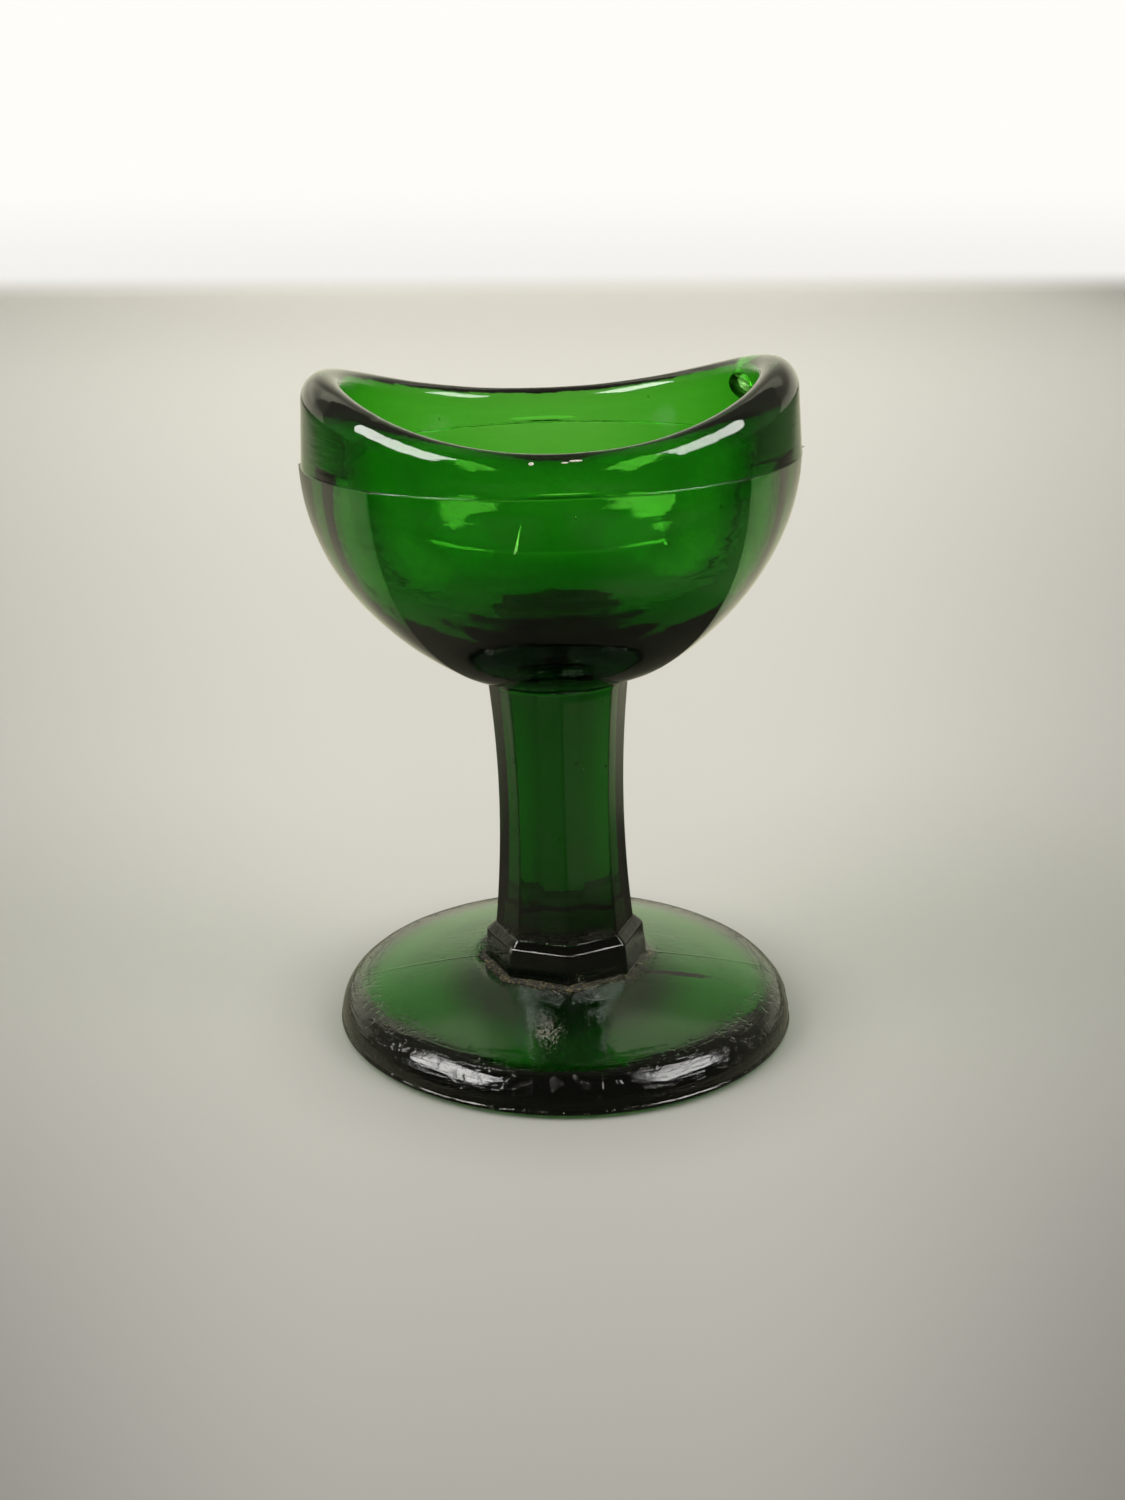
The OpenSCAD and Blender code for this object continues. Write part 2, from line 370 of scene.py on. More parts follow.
# Chill line round the inside of the front wall, and lens-shaped cuts under the band at the front and the back
crease_h = 50.65 + 1.2 * (degrees / 40) ** 2
crease_end = smooth((degrees + 40) / 8) * smooth((30 - degrees) / 8)
above = height - crease_h
step_up = crease_step * smooth(above / 0.25) * smooth((3.5 - above) / 3)
ridge = crease_ridge * np.exp(-((above / 0.13) ** 2))
offset += np.where(zone == CUP, crease_end * (step_up + ridge), 0)
lens = np.sqrt(np.maximum(0, 1 - (fold / 9) ** 2)) * np.exp(-(((height - parting_z - 0.26) / 0.17) ** 2))
offset -= np.where(zone == BAND, cut_depth * lens * (radius > cup_ry + 1), 0)

# Nicks along the lip: angle, height, length, width and depth
for turn, z, length, width, depth in (
    (24.3, 59.9, 0.25, 0.6, 0.14), (-6.5, 58.5, 0.35, 0.25, 0.10), (2.6, 58.55, 1.0, 0.2, 0.08),
    (-31, 60.2, 0.3, 0.3, 0.06), (41, 60.9, 0.5, 0.2, 0.05), (-48, 61.4, 0.6, 0.35, 0.05),
):
    dent = np.exp(-((np.radians(degrees - turn) * radius / length) ** 2) - ((height - z) / width) ** 2)
    offset -= np.where(zone == BAND, depth * dent, 0)

# The foot stands upright, and all the glass above it leans
grid = grid + normal * offset[:, :, None]
rings = [lean(r, LEAN) if zone[i] else r for i, r in enumerate(grid)]
cup_tip = lean(np.array([[0, 0, parting_z - cup_h]]), LEAN)[0]
skins = [closed_skin(rings, (0, 0, hollow_h), cup_tip)]


def egg(middle, axes, radii, inward):
    """A closed egg shape about a point. Its faces look inwards where it is an air space in the glass."""
    rows, columns = 10, 16
    points = [middle + radii[2] * axes[2]]
    for i in range(1, rows):
        for k in range(columns):
            e, w = math.pi * i / rows, 2 * math.pi * k / columns
            part = np.array([math.sin(e) * math.cos(w), math.sin(e) * math.sin(w), math.cos(e)]) * radii
            points.append(middle + part @ axes)
    points.append(middle - radii[2] * axes[2])
    last = len(points) - 1
    faces = []
    for k in range(columns):
        n = (k + 1) % columns
        faces.append((0, 1 + n, 1 + k))
        faces.append((last, last - columns + k, last - columns + n))
        for i in range(rows - 2):
            p, q = 1 + i * columns, 1 + (i + 1) * columns
            faces.append((p + k, p + n, q + n, q + k))
    return np.array(points), [f[::-1] for f in faces] if inward else faces


def wall_axes(turn):
    """Directions along the wall, out of it and up, at an angle in degrees."""
    a = math.radians(turn)
    return np.array([[math.cos(a), math.sin(a), 0], [math.sin(a), -math.cos(a), 0], [0, 0, 1]])


def seed(turn, rx, ry, z, radii):
    """An air bubble in the glass: radii are along the wall, through it and upwards."""
    a = math.radians(turn)
    points, faces = egg(np.array([rx * math.sin(a), -ry * math.cos(a), z]), wall_axes(turn), radii, True)
    return lean(points, LEAN), faces


# Bubbles in the wall: angle, height, depth below the outside and radii. The first is the large one in the lip
for turn, z, inset, radii in (
    (111, 60.2, 2.0, (2.6, 1.3, 1.3)), (2.6, 53.75, 0.8, (0.13, 0.12, 0.13)),
    (-20.2, 41.4, 0.7, (0.09, 0.08, 0.09)), (-36.5, 45.6, 0.7, (0.10, 0.09, 0.10)),
    (27.2, 41.6, 0.8, (0.07, 0.07, 0.08)), (38, 53.4, 1.2, (0.10, 0.08, 0.22)),
    (60, 57.5, 1.0, (0.1, 0.1, 0.1)), (-52, 57.0, 1.2, (0.09, 0.09, 0.12)),
    (150, 58.0, 1.4, (0.12, 0.1, 0.12)), (-150, 56.5, 1.4, (0.1, 0.1, 0.15)),
    (12, 47.5, 1.2, (0.06, 0.06, 0.08)),
):
    rx, ry = bowl_radii(z)
    skins.append(seed(turn, rx - inset, ry - inset, z, np.array(radii)))

# Bubbles in the stem: angle, height, distance from the axis and radii
for turn, z, out, radii in (
    (12.9, 27.8, 5.2, (0.2, 0.16, 0.2)), (19.6, 27.0, 5.2, (0.15, 0.12, 0.16)),
    (-51, 27.6, 5.3, (0.16, 0.1, 0.34)), (48.5, 26.8, 5.2, (0.1, 0.09, 0.14)),
    (-4.5, 20.2, 5.0, (0.1, 0.09, 0.14)), (43, 33.3, 5.3, (0.1, 0.09, 0.14)),
):
    skins.append(seed(turn, out, out, z, np.array(radii)))


def flaw(turn, z, half_w, half_l, taper, facing):
    """A thin air gap in the middle of the bowl's wall. It faces one way and widens downwards by the taper."""
    half_t = 0.03
    inset = wall_t / 2 - 0.05
    slant = np.array([0.17, 0, 1])
    face = np.array(facing) / np.linalg.norm(facing)
    upward = slant - face * (slant @ face)
    upward /= np.linalg.norm(upward)
    points, faces = egg(np.zeros(3), np.eye(3), np.array((half_w, half_t, half_l)), True)
    points[:, 0] *= 1 - taper * points[:, 2] / half_l
    rx, ry = bowl_radii(z)
    a = math.radians(turn)
    middle = np.array([(rx - inset) * math.sin(a), -(ry - inset) * math.cos(a), z])
    return lean(middle + points @ np.array([np.cross(upward, face), face, upward]), LEAN), faces


# Flaws that catch the windows: a crack under the parting line at the front, and small ones to the right of it
to_left, to_right = (-0.33, -0.905, 0.27), (0.35, -0.89, 0.28)
for turn, z, half_w, half_l, taper, facing in (
    (-10.2, 52.0, 0.17, 1.35, 0.6, to_left), (19.5, 51.9, 0.2, 0.1, 0, to_right),
    (21.7, 52.4, 0.18, 0.15, 0, to_right), (24, 50.9, 0.26, 0.18, 0, to_right),
    (23.4, 51.6, 0.3, 0.07, 0, to_right),
):
    skins.append(flaw(turn, z, half_w, half_l, taper, facing))
points, faces = joined(skins)
glass = add_mesh("eye_bath_glass", points * MM, faces)

# Pale flecks on the lip, painted highlights for chips in it that catch the windows: angle, angle over the lip
# and radii
flecks = []
for turn, tilt, radii in (
    (3.0, 52, (0.55, 0.05, 0.10)), (0.6, 48, (0.3, 0.05, 0.08)), (-6.5, 46, (0.22, 0.05, 0.16)),
):
    a, t = math.radians(turn), math.radians(tilt)
    h = rim_height(a) - lip_h * (1 - math.sin(t))
    inset = rim_taper * h / rim_top_h + wall_t * (1 - math.cos(t)) / 2
    rx, ry = bowl_w / 2 - inset, bowl_d / 2 - inset
    middle = np.array([rx * math.sin(a), -ry * math.cos(a), parting_z + h])
    axes = wall_axes(turn)
    axes[1], axes[2] = axes[1] + 0.9 * axes[2], axes[2] - 0.9 * axes[1]
    axes /= np.linalg.norm(axes, axis=1)[:, None]
    points, faces = egg(middle, axes, np.array(radii), False)
    flecks.append((lean(points, LEAN), faces))

# Residue: a dry, ragged bead in the crease between the collar and the foot, with loose grains round it
draw = np.random.default_rng(7)
BEAD = 480
turns = np.arange(BEAD) * 2 * math.pi / BEAD
collar_r = collar_base_w / 2 / np.maximum(0, np.cos(turns[:, None] - flats[None, :])).max(1)
ragged = np.array([noise.fractal(Vector((5 * math.sin(t), 5 * math.cos(t), 0)), 0.6, 2.2, 6) for t in turns])
spread = np.clip(0.5 + 0.4 * ragged, 0.32, 1.0)
bead = []
for out, rise in (
    (-0.2, -0.15), (-0.2, 0.42), (-0.03, 0.40), (0.2, 0.22), (0.55, 0.11), (0.85, 0.05), (1.0, -0.12),
):
    r = collar_r + np.where(out > 0, out * spread * 1.3, out)
    lump = np.array([noise.noise(Vector((45 * math.sin(t), 45 * math.cos(t), 9 * out))) for t in turns])
    bulge = rise * (0.15 + 0.8 * spread) + 0.08 * lump * np.minimum(1, 2 * spread)
    z = seat_h + np.where(rise > 0, bulge, rise)
    z -= 0.1 * np.maximum(0, r - 8.3)
    bead.append(np.column_stack([r * np.sin(turns), -r * np.cos(turns), z]))
bead_points = np.vstack(bead)
bead_faces = []
for i in range(len(bead)):
    p, q = i * BEAD, (i + 1) % len(bead) * BEAD
    for k in range(BEAD):
        n = (k + 1) % BEAD
        bead_faces.append((p + k, q + k, q + n, p + n))


def grain(middle, size, turn):
    """A small angular grain with eight faces."""
    c, s = math.cos(turn) * size, math.sin(turn) * size
    out = [(c, s, 0), (-c, -s, 0), (-0.7 * s, 0.7 * c, 0), (0.7 * s, -0.7 * c, 0)]
    out += [(0, 0, 0.6 * size), (0, 0, -0.6 * size)]
    faces = [(0, 2, 4), (2, 1, 4), (1, 3, 4), (3, 0, 4), (2, 0, 5), (1, 2, 5), (3, 1, 5), (0, 3, 5)]
    return middle + np.array(out), faces


GRAINS = 3000
grains = [(bead_points, bead_faces)]
for _ in range(GRAINS):
    t = draw.uniform(0, 2 * math.pi)
    edge = np.interp(t, turns, collar_r, period=2 * math.pi)
    r = edge + 0.1 + abs(draw.normal(0, 0.6))
    size = draw.uniform(0.03, 0.1)
    z = min(seat_h, arc(r, dome_r, crown_h)) + 0.25 * size
    grains.append(grain(np.array([r * math.sin(t), -r * math.cos(t), z]), size, draw.uniform(0, math.pi)))
points, faces = joined(grains)
residue = add_mesh("residue", points * MM, faces)


# Places in the patch of painted highlights on the foot in front of the collar
def in_painted_glint_patch():
    x, y = draw.normal(-2.6, 0.75), draw.normal(-14.9, 1.2)
    return np.array([x, y, arc(math.hypot(x, y), dome_r, crown_h)])


def on_collar_side():
    a = flats[0]
    t = draw.normal(-2.1, 0.3)
    rise = abs(draw.normal(0.3, 0.5))
    out = collar_base_w / 2 - 0.1 * rise
    place = (out * math.sin(a) + t * math.cos(a), t * math.sin(a) - out * math.cos(a), seat_h + rise)
    return lean(np.array([place]), LEAN)[0]


def on_collar_corner():
    out = collar_top_w / 2 / math.cos(math.pi / 8) / math.sqrt(2) + draw.normal(0, 0.08)
    place = (-out, -out + draw.normal(0, 0.12), stem_z - bevel + draw.normal(0, 0.15))
    return lean(np.array([place]), LEAN)[0]


def on_flange():
    a = math.radians(draw.normal(-8, 10))
    r = foot_r + 0.09
    return np.array([r * math.sin(a), -r * math.cos(a), draw.uniform(0.55, 0.9)])


# Pale specks: a patch on the foot in front of the collar, painted highlights for the glint of the windows in
# a scuffed spot there, and specks of lime on the collar and along the foot's edge.
# Each row gives where they lie, how many there are, and the least and greatest size.
for place, count, low, high in (
    (in_painted_glint_patch, 560, 0.018, 0.058), (on_collar_side, 70, 0.015, 0.045),
    (on_collar_corner, 24, 0.02, 0.05), (on_flange, 22, 0.02, 0.06),
):
    for _ in range(count):
        flecks.append(grain(place(), draw.uniform(low, high), draw.uniform(0, math.pi)))
points, faces = joined(flecks)
specks = add_mesh("pale_specks", points * MM, faces)


class Nodes:
    """Short ways to add nodes to the node tree of a material or of the world."""

    def __init__(self, graph):
        self.graph = graph

    def add(self, kind):
        return self.graph.nodes.new("ShaderNode" + kind)

    def feed(self, socket, value):
        """Link a socket to another node's output, or set it to a number, vector or colour."""
        if isinstance(value, bpy.types.NodeSocket):
            self.graph.links.new(value, socket)
        else:
            socket.default_value = value

    def math(self, operation, a, b=0):
        node = self.add("Math")
        node.operation = operation
        self.feed(node.inputs[0], a)
        self.feed(node.inputs[1], b)
        return node.outputs["Value"]

    def product(self, first, *others):
        for other in others:
            first = self.math("MULTIPLY", first, other)
        return first

    def without(self, value, *shares):
        """A value with each share of it, from 0 to 1, taken away."""
        for share in shares:
            value = self.math("MULTIPLY", value, self.math("SUBTRACT", 1, share))
        return value

    def ramp(self, value, low, high, start, end):
        """A smooth change from start, where the value is low, to end, where it is high."""
        node = self.add("MapRange")
        node.interpolation_type = "SMOOTHSTEP"
        names = ("Value", "From Min", "From Max", "To Min", "To Max")
        for name, number in zip(names, (value, low, high, start, end)):
            self.feed(node.inputs[name], number)
        return node.outputs["Result"]

    def vector(self, operation, a, b=(0, 0, 0)):
        node = self.add("VectorMath")
        node.operation = operation
        self.feed(node.inputs[0], a)
        self.feed(node.inputs[1], b)
        return node.outputs["Vector"]

    def length(self, vector):
        node = self.add("VectorMath")
        node.operation = "LENGTH"
        self.feed(node.inputs[0], vector)
        return node.outputs["Value"]

    def split(self, vector):
        node = self.add("SeparateXYZ")
        self.feed(node.inputs["Vector"], vector)
        return node.outputs["X"], node.outputs["Y"], node.outputs["Z"]

    def join(self, x, y, z):
        node = self.add("CombineXYZ")
        for socket, value in zip(node.inputs, (x, y, z)):
            self.feed(socket, value)
        return node.outputs["Vector"]

    def own_space(self):
        return self.add("TexCoord").outputs["Object"]

    def noise_at(self, place, detail):
        node = self.add("TexNoise")
        node.inputs["Scale"].default_value = 1
        node.inputs["Detail"].default_value = detail
        self.feed(node.inputs["Vector"], place)
        return node.outputs["Fac"]

    def noise(self, scale, detail):
        """Noise in the piece's own space. Scale is in waves per metre along X, Y and Z."""
        stretch = self.add("Mapping")
        stretch.inputs["Scale"].default_value = scale
        self.feed(stretch.inputs["Vector"], self.own_space())
        return self.noise_at(stretch.outputs["Vector"], detail)

    def bump(self, height, distance, strength):
        node = self.add("Bump")
        node.inputs["Distance"].default_value = distance
        node.inputs["Strength"].default_value = strength
        self.feed(node.inputs["Height"], height)
        return node.outputs["Normal"]

    def colors(self, value, stops):
        node = self.add("ValToRGB")
        ramp = node.color_ramp.elements
        while len(ramp) < len(stops):
            ramp.new(1)
        for element, (place, color) in zip(ramp, stops):
            element.position = place
            element.color = (*color, 1)
        self.feed(node.inputs["Fac"], value)
        return node.outputs["Color"]

    def mirrored(self, path):
        """1 for rays that a surface mirrors, otherwise 0."""
        return self.product(path["Is Glossy Ray"], path["Is Reflection Ray"])

    def warmed(self, color, mirrored):
        """A colour with a fifth less blue for mirrored rays, a painted warm tint in the glass's reflections.
        """
        blue = self.math("SUBTRACT", 1, self.product(mirrored, 0.2))
        return self.vector("MULTIPLY", color, self.join(1, 1, blue))


def material(name):
    """A new material, its nodes, its main shader and its output."""
    made = bpy.data.materials.new(name)
    made.use_nodes = True
    graph = made.node_tree
    return made, Nodes(graph), graph.nodes["Principled BSDF"], graph.nodes["Material Output"]


# Green glass: level chill ripples on the bowl and the band, upright draw lines on the stem, and pits and
# scratches on the foot, most of them along its rolled edge
GLASS_COLOR = (0.385, 0.8165, 0.15, 1)
GLASS_DENSITY = 1330
glass_look, tree, shader, output = material("green_glass")
shader.inputs["Base Color"].default_value = (1, 1, 1, 1)
shader.inputs["Transmission Weight"].default_value = 1
shader.inputs["IOR"].default_value = 1.52
shader.inputs["Roughness"].default_value = 0.02
own = tree.own_space()
_, _, glass_up = tree.split(own)
on_bowl = tree.ramp(glass_up, 0.0355, 0.0375, 0, 1)
on_foot = tree.ramp(glass_up, 0.0045, 0.0062, 1, 0)
on_stem = tree.math("SUBTRACT", tree.math("SUBTRACT", 1, on_bowl), on_foot)
ripples = tree.product(on_bowl, tree.noise((330, 330, 1700), 3))
draw_lines = tree.product(on_stem, tree.noise((1400, 1400, 60), 2))
off_axis = tree.vector("MULTIPLY", own, (1, 1, 0))
from_axis = tree.length(off_axis)
on_edge = tree.ramp(from_axis, 0.0178, 0.0195, 0, 1)
pits = tree.ramp(tree.noise((1500, 1500, 1500), 3), 0.55, 0.68, 0, -1.5)
pits = tree.product(pits, tree.ramp(on_edge, 0, 1, 0.15, 1))
turn_x, turn_y, _ = tree.split(tree.vector("NORMALIZE", off_axis))
down_slope = tree.math("SUBTRACT", from_axis, glass_up)
around_foot = tree.join(tree.product(turn_x, 3.5), tree.product(turn_y, 3.5), tree.product(down_slope, 1900))
scratches = tree.product(tree.ramp(tree.noise_at(around_foot, 4), 0.42, 0.7, 0, -1.1), on_edge)
worn = tree.product(on_foot, tree.math("ADD", pits, scratches))
surface = tree.math("ADD", tree.math("ADD", ripples, draw_lines), worn)
tree.feed(shader.inputs["Normal"], tree.bump(surface, 0.00002, 0.9))
absorb = tree.add("VolumeAbsorption")
absorb.inputs["Color"].default_value = GLASS_COLOR
absorb.inputs["Density"].default_value = GLASS_DENSITY
tree.feed(output.inputs["Volume"], absorb.outputs["Volume"])
glass.data.materials.append(glass_look)

# Brown residue with paler grains
residue_look, tree, shader, output = material("residue")
grit = tree.noise((3200, 3200, 3200), 4)
soil = tree.colors(grit, (
    (0.40, (0.007, 0.0065, 0.0025)), (0.52, (0.022, 0.019, 0.007)),
    (0.60, (0.05, 0.04, 0.013)), (0.68, (0.22, 0.17, 0.06)),
))
tree.feed(shader.inputs["Base Color"], soil)
shader.inputs["Roughness"].default_value = 0.9
tree.feed(shader.inputs["Normal"], tree.bump(grit, 0.0002, 1))
residue.data.materials.append(residue_look)

# Pale specks: lime on the collar and the foot's edge, and painted highlights where they stand for glints on
# the lip and the foot
speck_look, tree, shader, output = material("pale_specks")
speck_noise = tree.noise((5000, 5000, 5000), 3)
lime_and_glint_color = tree.colors(speck_noise, ((0.35, (0.42, 0.37, 0.24)), (0.6, (0.82, 0.80, 0.70))))
tree.feed(shader.inputs["Base Color"], lime_and_glint_color)
shader.inputs["Roughness"].default_value = 0.75
tree.feed(shader.inputs["Normal"], tree.bump(speck_noise, 0.00003, 0.6))
specks.data.materials.append(speck_look)

for piece, slot in ((glass, "green_glass"), (residue, "residue"), (specks, "residue")):
    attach(piece, "root")
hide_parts("foot", "stem_collar", "stem", "bowl", "rim_band")

# Stage: a pale painted table that turns up into a white wall behind, in metres
table_front_y = -1.2
wall_y = 0.685
wall_h = 0.90
sweep_r = 0.01
stage_half_w = 1.4
below_foot = 0.00002
outline = [(table_front_y, 0.0), (wall_y - sweep_r, 0.0)]
for t in np.radians(np.linspace(10, 90, 9)):
    outline.append((wall_y - sweep_r + sweep_r * math.sin(t), sweep_r - sweep_r * math.cos(t)))
outline.append((wall_y, wall_h))
stage_points = [(x, y, z - below_foot) for y, z in outline for x in (-stage_half_w, stage_half_w)]
stage_faces = [(2 * i, 2 * i + 1, 2 * i + 3, 2 * i + 2) for i in range(len(outline) - 1)]
stage = add_mesh("table_and_wall", stage_points, stage_faces)

# Places on the stage are given by how far they lie across, away, up, to either side, and from the foot's
# middle. Inner rays come through the glass after it has mirrored them inside.
WARM_WHITE = (1, 0.985, 0.95)
TABLE_COLOR = (0.597, 0.588, 0.547)
stage_look, tree, shader, output = material("painted_table")
spot = tree.add("NewGeometry").outputs["Position"]
path = tree.add("LightPath").outputs
across, away, up = tree.split(spot)
aside = tree.math("ABSOLUTE", across)
reach = tree.length(spot)
mirrored = tree.mirrored(path)
through = path["Is Transmission Ray"]
inner = tree.product(tree.math("GREATER_THAN", path["Glossy Depth"], 0.5), through)

# Painted light and shade on the table: it brightens towards the back and falls off towards the camera and the
# sides, and a little round the foot as a painted contact shadow
level = tree.product(tree.ramp(away, -0.13, 0.04, 0.42, 1), tree.ramp(away, 0.03, 0.5, 1, 1.46))
drift = tree.product(tree.math("SUBTRACT", away, 0.04), 0.05)
off_line = tree.math("ABSOLUTE", tree.math("SUBTRACT", across, drift))
view_spread = tree.math("DIVIDE", off_line, tree.math("ADD", away, 0.19))
to_side = tree.product(tree.ramp(view_spread, 0.08, 0.42, 0, 1), tree.ramp(away, -0.06, 0.06, 0.42, 0.33))
to_side = tree.product(to_side, tree.ramp(away, -0.19, -0.12, 0, 1))
level = tree.without(level, to_side)
level = tree.product(level, tree.ramp(aside, 0.22, 0.4, 1, 0.4), tree.ramp(reach, 0.0205, 0.034, 0.84, 1))

# Painted shade in the table's reflection: where the glass mirrors it, its front and far left are painted dim,
# less so on the right, with one painted bright patch there and right beside the foot. What lies behind the
# foot is painted dim too, as the object's shadow.
bright_side = tree.product(tree.ramp(across, 0.01, 0.05, 0, 1), tree.ramp(reach, 0.054, 0.07, 0.1, 1))
patch = tree.product(tree.ramp(away, -0.044, -0.036, 1.6, 0), tree.ramp(reach, 0.078, 0.09, 1, 0))
bright_side = tree.product(bright_side, tree.math("ADD", patch, 0.6))
short = tree.ramp(path["Ray Length"], 0.018, 0.03, 0.55, 0)
by_foot = tree.product(short, tree.ramp(aside, 0.012, 0.018, 0, 1))
gloom = tree.product(tree.ramp(away, 0.0, 0.14, 0.76, 0), tree.ramp(across, -0.045, -0.01, 0.65, 1))
gloom = tree.without(gloom, bright_side, by_foot)
gloom = tree.math("MAXIMUM", gloom, tree.ramp(across, -0.4, -0.2, 0.35, 0))
behind = tree.product(tree.ramp(reach, 0.05, 0.11, 0.6, 0), tree.ramp(away, -0.01, 0.035, 0, 1))
behind = tree.without(behind, by_foot)
level = tree.without(level, tree.product(gloom, mirrored), tree.product(behind, mirrored))

# Seen through the glass, it has painted shade where the foot's edge meets it and a painted shadow in a strip
# under the foot's front, and painted light on the left for rays that the glass has also mirrored inside
edge_shade = tree.product(tree.ramp(reach, 0.0185, 0.02, 0, 0.9), tree.ramp(reach, 0.0225, 0.0245, 1, 0))
strip = tree.math("MAXIMUM", tree.ramp(aside, 0.0022, 0.0042, 0.3, 1), tree.ramp(away, -0.004, 0.002, 0, 1))
strip = tree.math("MAXIMUM", strip, tree.ramp(reach, 0.018, 0.02, 0, 1))
shade = tree.math("MAXIMUM", edge_shade, tree.math("SUBTRACT", 1, strip))
level = tree.without(level, tree.product(shade, through))
on_left = tree.product(tree.ramp(across, -0.32, -0.24, 0, 0.6), tree.ramp(across, -0.15, -0.12, 1, 0))
level = tree.product(level, tree.math("ADD", tree.product(on_left, inner), 1))
tone = tree.add("VectorMath")
tone.operation = "SCALE"
tree.feed(tone.inputs["Vector"], tree.warmed(TABLE_COLOR, mirrored))
tree.feed(tone.inputs["Scale"], level)
tree.feed(shader.inputs["Base Color"], tone.outputs["Vector"])
shader.inputs["Roughness"].default_value = 0.6
shader.inputs["Specular IOR Level"].default_value = 0

# Under the foot it gives off a little light towards rays that come straight through the foot, in place of the
# light that glass focuses there
under = tree.product(tree.ramp(reach, 0.017, 0.0205, 1, 0), tree.ramp(reach, 0.008, 0.0135, 0.06, 1))
under = tree.product(under, tree.ramp(away, -0.016, 0.004, 0.09, 0.48), strip, through)
under = tree.product(under, tree.math("LESS_THAN", path["Glossy Depth"], 0.5))
shader.inputs["Emission Color"].default_value = (*WARM_WHITE, 1)
tree.feed(shader.inputs["Emission Strength"], under)

# The wall shows as a white glow, painted to fade upwards and a little towards the sides and its foot.
# Mirrored by the glass, it is painted brighter high up at the sides and on the left. It is painted dimmer in
# the middle for rays that the glass has also mirrored inside. Its white shows only to the camera and in the
# glass, so it lights no other surface.
wall_level = tree.product(tree.ramp(up, 0.18, 0.48, 1, 0.4), tree.ramp(aside, 0.3, 0.9, 1, 0.8))
wall_level = tree.product(wall_level, tree.ramp(up, 0.006, 0.05, 0.9, 1))
high_side = tree.product(tree.ramp(up, 0.55, 0.68, 0, 0.45), tree.ramp(aside, 0.08, 0.15, 0, 1))
left_side = tree.product(tree.ramp(up, 0.2, 0.3, 0, 0.4), tree.ramp(across, -0.35, -0.2, 1, 0))
brighter = tree.product(tree.math("ADD", high_side, left_side), tree.ramp(aside, 0.72, 0.82, 1, 0), mirrored)
wall_level = tree.math("ADD", wall_level, brighter)
in_middle = tree.ramp(aside, 0.06, 0.12, 0.7, 0)
wall_level = tree.without(wall_level, tree.product(inner, in_middle))
white = tree.add("Emission")
tree.feed(white.inputs["Color"], tree.warmed(WARM_WHITE, mirrored))
tree.feed(white.inputs["Strength"], wall_level)
seen = tree.math("MAXIMUM", path["Is Glossy Ray"], through)
seen = tree.math("MAXIMUM", seen, path["Is Camera Ray"])
mixed = tree.add("MixShader")
tree.feed(mixed.inputs["Fac"], tree.product(seen, tree.ramp(up, 0, 0.009, 0, 1)))
tree.feed(mixed.inputs[1], shader.outputs["BSDF"])
tree.feed(mixed.inputs[2], white.outputs["Emission"])
tree.feed(output.inputs["Surface"], mixed.outputs["Shader"])
stage.data.materials.append(stage_look)

# Room: dim, darker in front, with a wide ceiling light that is left out where the glass mirrors it directly
ROOM_COLOR = (1, 0.98, 0.94)
world = bpy.data.worlds.new("room")
bpy.context.scene.world = world
world.use_nodes = True
tree = Nodes(world.node_tree)
background = world.node_tree.nodes["Background"]
path = tree.add("LightPath").outputs
mirrored = tree.product(tree.mirrored(path), tree.math("LESS_THAN", path["Glossy Depth"], 1.5))
_, toward_back, toward_top = tree.split(tree.add("TexCoord").outputs["Generated"])
room_level = tree.ramp(toward_back, -0.4, 0.5, 0.08, 0.32)
room_level = tree.without(room_level, tree.product(tree.ramp(toward_back, 0.2, 0.5, 0, 0.3), mirrored))
ceiling = tree.without(tree.ramp(toward_top, 0.45, 0.85, 0, 1), mirrored)
tree.feed(background.inputs["Color"], tree.warmed(ROOM_COLOR, mirrored))
tree.feed(background.inputs["Strength"], tree.math("ADD", room_level, ceiling))

LAMP_AIM = Vector((0, 0, 0.03))


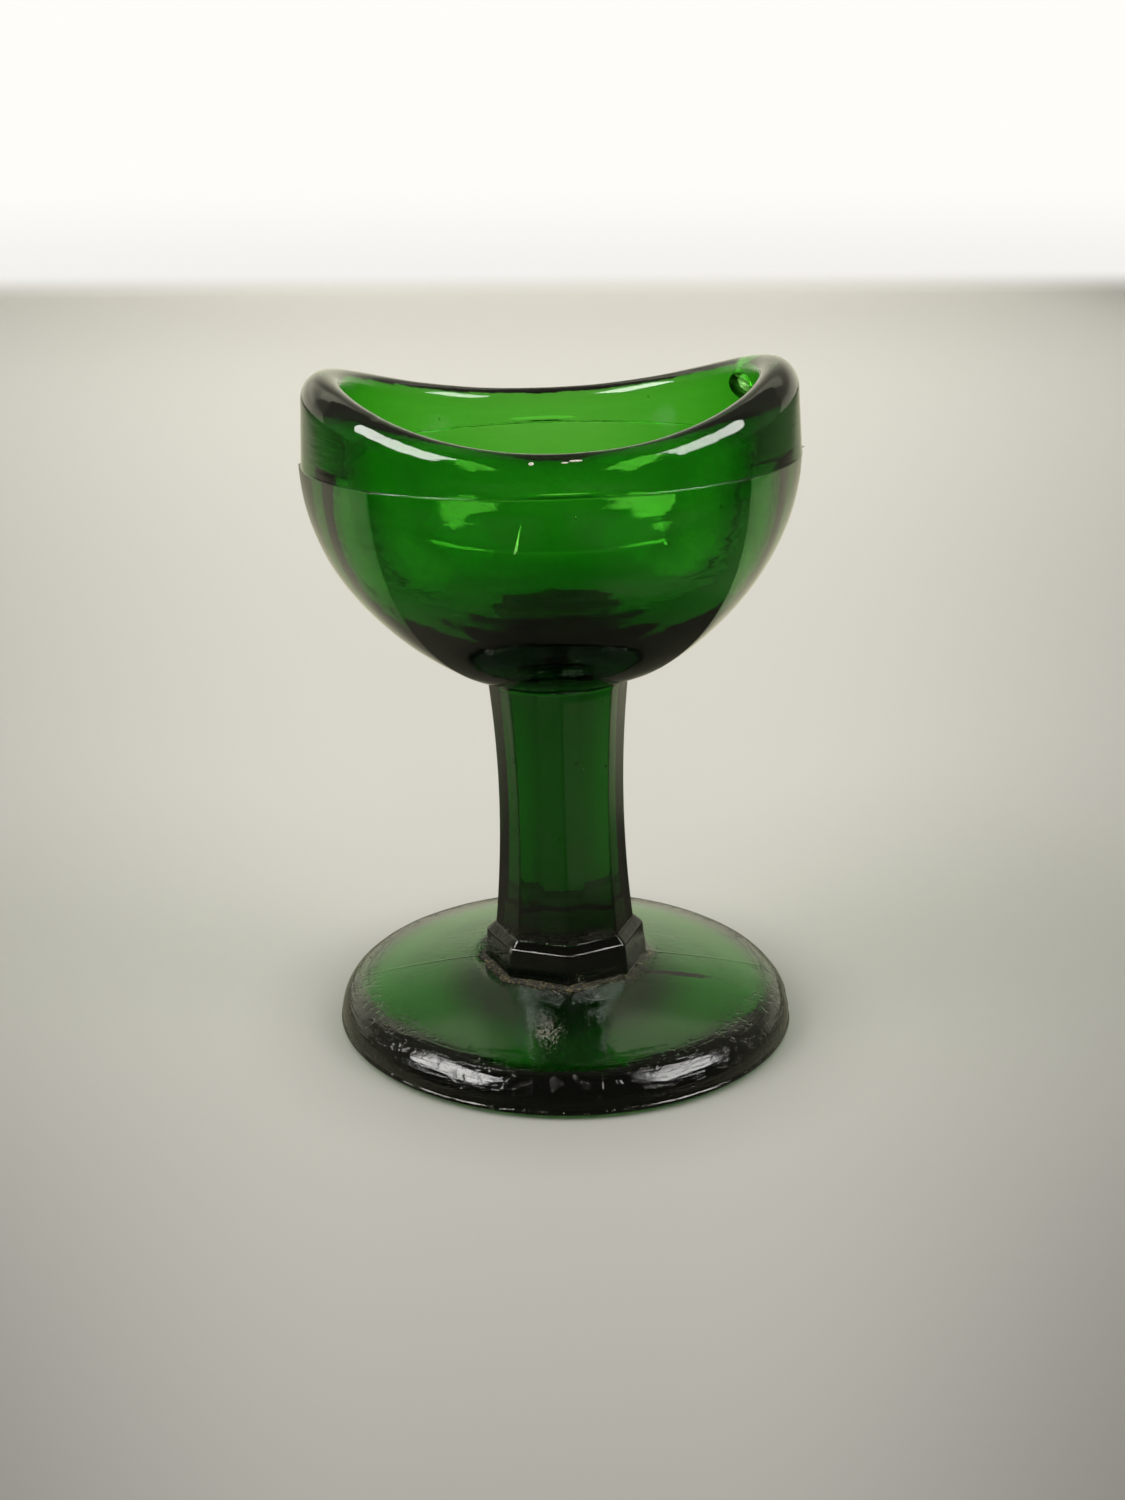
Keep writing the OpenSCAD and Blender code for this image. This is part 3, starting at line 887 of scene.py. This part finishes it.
def window(name, place, width, height, power, shine):
    """A soft lamp towards the glass, and the bright pane at the same place that the glass mirrors."""
    turn = (LAMP_AIM - Vector(place)).to_track_quat("-Z", "Y").to_euler()
    lamp = bpy.data.lights.new(name, "AREA")
    lamp.shape = "RECTANGLE"
    lamp.size = width
    lamp.size_y = height
    lamp.energy = power
    lamp.color = WARM_WHITE
    light = add_object(name, lamp)
    light.visible_glossy = False
    light.visible_transmission = False
    w, h = width / 2, height / 2
    corners = [(-w, -h, 0), (w, -h, 0), (w, h, 0), (-w, h, 0)]
    pane = add_mesh(name + "_pane", corners, [(0, 1, 2, 3)])
    pane.visible_camera = False
    pane.visible_diffuse = False
    pane.visible_shadow = False
    for placed in (light, pane):
        placed.location = place
        placed.rotation_euler = turn
    look, tree, shader, output = material(name + "_pane")
    tree.graph.nodes.remove(shader)
    glow = tree.add("Emission")
    glow.inputs["Color"].default_value = (*WARM_WHITE, 1)
    glow.inputs["Strength"].default_value = shine
    tree.feed(output.inputs["Surface"], glow.outputs["Emission"])
    pane.data.materials.append(look)


# Two soft windows in front, left and right of the camera: place, width, height, lamp power, pane brightness
window("window_left", (-0.645, -0.25, 0.59), 0.62, 0.42, 4.2, 13)
window("window_right", (0.645, -0.302, 0.59), 0.52, 0.42, 2.6, 11)

# Camera, fitted to the outlines in the photograph
camera_yaw = math.radians(3.0)
camera_away = 0.17554
camera_h = 0.08747
camera_aim_h = 0.02723
camera_shift = -0.000323
sensor_w = 36
focal_px = 1956.46
picture_px = 1500
right = Vector((math.cos(camera_yaw), -math.sin(camera_yaw), 0))
eye = Vector((-math.sin(camera_yaw) * camera_away, -math.cos(camera_yaw) * camera_away, camera_h))
eye += right * camera_shift
aim = Vector((0, 0, camera_aim_h)) + right * camera_shift
camera_data = bpy.data.cameras.new("camera")
camera_data.sensor_width = sensor_w
camera_data.lens = focal_px * sensor_w / picture_px
camera_data.clip_start = 0.005
camera = add_object("camera", camera_data)
camera.location = eye
camera.rotation_euler = (aim - eye).to_track_quat("-Z", "Y").to_euler()
bpy.context.scene.camera = camera
bpy.context.scene.view_settings.view_transform = "Standard"
